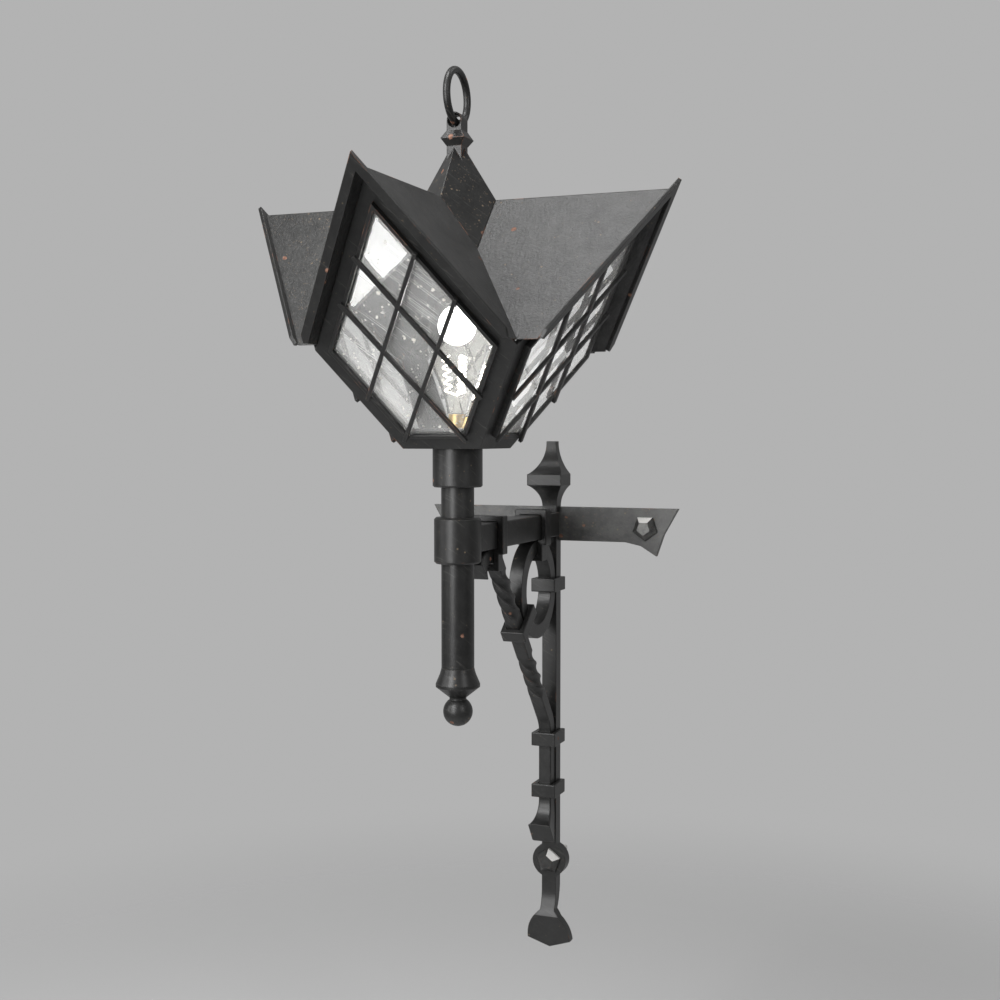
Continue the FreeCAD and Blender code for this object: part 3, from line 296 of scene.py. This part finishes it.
def window_glass(name, wiped=0.0):
    """Clear pane with a thin grey film and flakes of dirt. wiped is how strongly wiped lines show in it."""
    f = Finish(name)
    broad = f.stretched(long=0.120, short=0.040, across=ACROSS_WIPES)
    smears = f.noise(detail=3.0, rough=0.5, at=broad, twist=0.2).over(0.3, 0.8)
    fine_dirt = f.specks(scale=170.0, size=0.22, share=0.48) * 0.8
    dirt = f.specks(scale=75.0, size=0.20, share=0.46).most(fine_dirt)
    film = 0.15 + smears * 0.03 + dirt * 0.55
    if wiped:
        narrow = f.stretched(long=0.110, short=0.0011, across=ACROSS_WIPES)
        lines = f.noise(detail=0.0, rough=0.4, at=narrow).over(0.765, 0.785)
        film = film + lines * wiped
    clear = f.shader(Base_Color=PANE_CLEAR, Roughness=0.015, IOR=1.27, Transmission_Weight=1.0)
    dusty = f.shader(Base_Color=f.mix(dirt, PANE_FILM, PANE_DIRT), Roughness=0.5)
    f.finish(f.blend(film, clear, dusty))
    return f.material


def lamp_glass():
    """Thin clear glass of the bulb, with a breath of haze."""
    f = Finish("lamp_glass")
    haze = f.noise(scale=45.0, detail=3.0, rough=0.6)
    colour = f.mix(haze, BULB_CLEAR, BULB_HAZE)
    rough = haze.over(0.4, 0.8) * 0.05
    f.finish(f.shader(Base_Color=colour, Roughness=rough, IOR=1.12, Transmission_Weight=1.0))
    return f.material


def worn_brass():
    f = Finish("worn_brass")
    tone = f.noise(scale=120.0, detail=3.0, rough=0.6)
    colour = f.mix(tone.over(0.35, 0.7), DARK_BRASS, BRIGHT_BRASS)
    f.finish(f.shader(Base_Color=colour, Metallic=1.0, Roughness=0.26 + tone * 0.2))
    return f.material


def glazed_holder():
    f = Finish("glazed_holder")
    tone = f.noise(scale=90.0, detail=3.0, rough=0.6)
    colour = f.mix(tone.over(0.3, 0.7), DARK_GLAZE, PALE_GLAZE)
    f.finish(f.shader(Base_Color=colour, Roughness=0.3 + tone * 0.2))
    return f.material


def hot_wire():
    f = Finish("hot_wire")
    glow = f.mix(f.noise(scale=400.0), WARM_GLOW, WHITE_GLOW)
    f.finish(f.shader(Base_Color=WIRE, Roughness=0.4, Emission_Color=glow, Emission_Strength=9.0))
    return f.material


iron = forged_iron("forged_iron")
strap_bolt = bolt_iron("strap_bolt", rubbed=UPWARDS, bare=1.0)
pane_finish = window_glass("window_glass")
bulb_finish = lamp_glass()
finishes = {
    "pane_front": window_glass("wiped_glass", wiped=0.40),
    "pane_right": pane_finish,
    "pane_back": pane_finish,
    "pane_left": pane_finish,
    "bulb_glass": bulb_finish,
    "bulb_stem": bulb_finish,
    "bulb_cap": worn_brass(),
    "lamp_holder": glazed_holder(),
    "filament": hot_wire(),
    "roof": forged_iron("weathered_iron", fade_and_painted_light=0.4, pitted=1.0, spatter_left=0.11),
    "spire": forged_iron("spattered_iron", spatter=0.47, chipped=0.46),
    "ring": forged_iron("chipped_iron", spatter=0.40, chipped=0.52),
    # strap: paler paint, partly real scuffing and partly painted light for the front light that falls on it
    "wall_strap": forged_iron("scuffed_iron_with_painted_light", fade_and_painted_light=3.9, pitted=0.3, spatter=0.45, chipped=0.55),
    "bolt_right": strap_bolt,
    "bolt_left": strap_bolt,
    "bolt_low": bolt_iron("foot_bolt", rubbed=UP_AND_RIGHT, bare=0.0),
}
CLEAR = ("pane_", "bulb_glass", "bulb_stem")
for name, obj in nodes.items():
    obj.data.materials.clear()
    obj.data.materials.append(finishes.get(name, iron))
    obj.visible_shadow = not name.startswith(CLEAR)


def soften(obj, width):
    """Small worn round on the edges of a flat-sided piece."""
    join = obj.modifiers.new("join", "WELD")
    join.merge_threshold = 1e-6
    flats = obj.modifiers.new("flats", "DECIMATE")
    flats.decimate_type = "DISSOLVE"
    flats.angle_limit = math.radians(0.6)
    worn = obj.modifiers.new("worn_edges", "BEVEL")
    worn.width = width
    worn.segments = 2
    worn.limit_method = "ANGLE"
    worn.angle_limit = math.radians(28)


soften(nodes["beam"], BEAM_ROUND)
soften(nodes["wall_strap"], CLIP_ROUND)
for name in CLIPS:
    soften(nodes[name], CLIP_ROUND)

# floor, far enough below to stay clear of the foot, fading into the pale surround
bpy.ops.mesh.primitive_circle_add(
    vertices=FLOOR_SIDES, radius=FLOOR_RADIUS, fill_type="NGON", location=(0, 0, FLOOR_Z)
)
floor = bpy.context.object
floor.name = "floor"
ground = Finish("pale_floor")
spread = ground.add("ShaderNodeVectorMath", {"operation": "LENGTH"}, {0: ground.place}, out="Value")
matt = ground.shader(Base_Color=FLOOR_GREY, Roughness=1.0)
gone = ground.add("ShaderNodeBsdfTransparent")
ground.finish(ground.blend(spread.over(FLOOR_FADES_FROM, FLOOR_GONE_AT), matt, gone))
floor.data.materials.append(ground.material)

# surround: pale where the camera looks at it, also through glass, grey behind the part, and dim elsewhere
world = bpy.data.worlds.new("surround")
bpy.context.scene.world = world
air = Tree(world, "ShaderNodeOutputWorld")
looked_at = air.add("ShaderNodeLightPath", out="Is Camera Ray")
seen = looked_at.most(air.add("ShaderNodeLightPath", out="Is Transmission Ray"))
way = air.add("ShaderNodeTexCoord", out="Generated")
behind = air.add("ShaderNodeSeparateXYZ", None, {0: way}, out="Y").over(0.0, 0.6)
pale = air.add("ShaderNodeBackground", None, {"Color": SURROUND_SEEN})
dull = air.add("ShaderNodeBackground", None, {"Color": SURROUND_BEHIND})
dim = air.add("ShaderNodeBackground", None, {"Color": SURROUND_DIM})
air.finish(air.blend(seen, air.blend(behind, dim, dull), pale))


def softbox(name, at, wide, tall, watts, turn=None):
    """A rectangular light that looks at the middle of the part, unless it is turned another way."""
    light = bpy.data.lights.new(name, "AREA")
    light.energy = watts
    light.shape = "RECTANGLE"
    light.size = wide
    light.size_y = tall
    obj = bpy.data.objects.new(name, light)
    bpy.context.scene.collection.objects.link(obj)
    obj.location = at
    obj.rotation_euler = turn or (Vector(MIDDLE) - Vector(at)).to_track_quat("-Z", "Y").to_euler()
    obj.visible_camera = False
    return obj


softbox("key_light", at=(-0.62, -1.90, 1.25), wide=0.9, tall=0.9, watts=28.0)
softbox("roof_light", at=(-0.20, -0.70, 1.95), wide=0.7, tall=0.7, watts=20.0)
softbox("front_light", at=(-0.50, -2.25, 0.15), wide=0.9, tall=0.8, watts=18.0)
softbox("right_light", at=(1.7, -1.2, 0.9), wide=0.5, tall=1.2, watts=7.5)
softbox("left_light", at=(-1.6, -1.3, 0.5), wide=0.5, tall=1.2, watts=6.0)
softbox("back_light", at=(0.9, 0.6, 2.1), wide=0.9, tall=0.9, watts=5.0)

# panels that only the panes mirror: low in front for the front pane, and behind for the right pane
panes = bpy.data.collections.new("panes")
for name, obj in nodes.items():
    if name.startswith("pane_"):
        panes.objects.link(obj)
turned_up = (UPWARD_TURN, 0.0, LOW_PANEL_TURN)
low_panel = softbox("low_panel", at=(-0.664, -1.057, -0.70), wide=0.44, tall=0.26, watts=14.0, turn=turned_up)
side_panel = softbox("side_panel", at=(0.39, 1.56, -0.51), wide=0.5, tall=0.7, watts=3.0)
for panel in (low_panel, side_panel):
    panel.light_linking.receiver_collection = panes
    panel.visible_transmission = False
    panel.visible_diffuse = False

# the bulb's own light, in the wide upper part of its glass
bulb_low, bulb_high = [Vector(corner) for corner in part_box("bulb_glass")]
bulb_middle = (bulb_low + bulb_high) / 2
glow = bpy.data.lights.new("lit_bulb", "POINT")
glow.energy = GLOW_WATTS
glow.shadow_soft_size = GLOW_RADIUS
lit_bulb = bpy.data.objects.new("lit_bulb", glow)
bpy.context.scene.collection.objects.link(lit_bulb)
lit_bulb.location = (bulb_middle.x, bulb_middle.y, bulb_high.z - GLOW_BELOW_CROWN)

camera = bpy.data.cameras.new("camera")
camera.lens = CAMERA_LENS_MM
camera.sensor_width = CAMERA_SENSOR_MM
cam = bpy.data.objects.new("camera", camera)
bpy.context.scene.collection.objects.link(cam)
cam.location = CAMERA_PLACE
cam.rotation_euler = (CAMERA_TILT, 0.0, CAMERA_TURN)
bpy.context.scene.camera = cam
bpy.context.scene.view_settings.view_transform = "Standard"
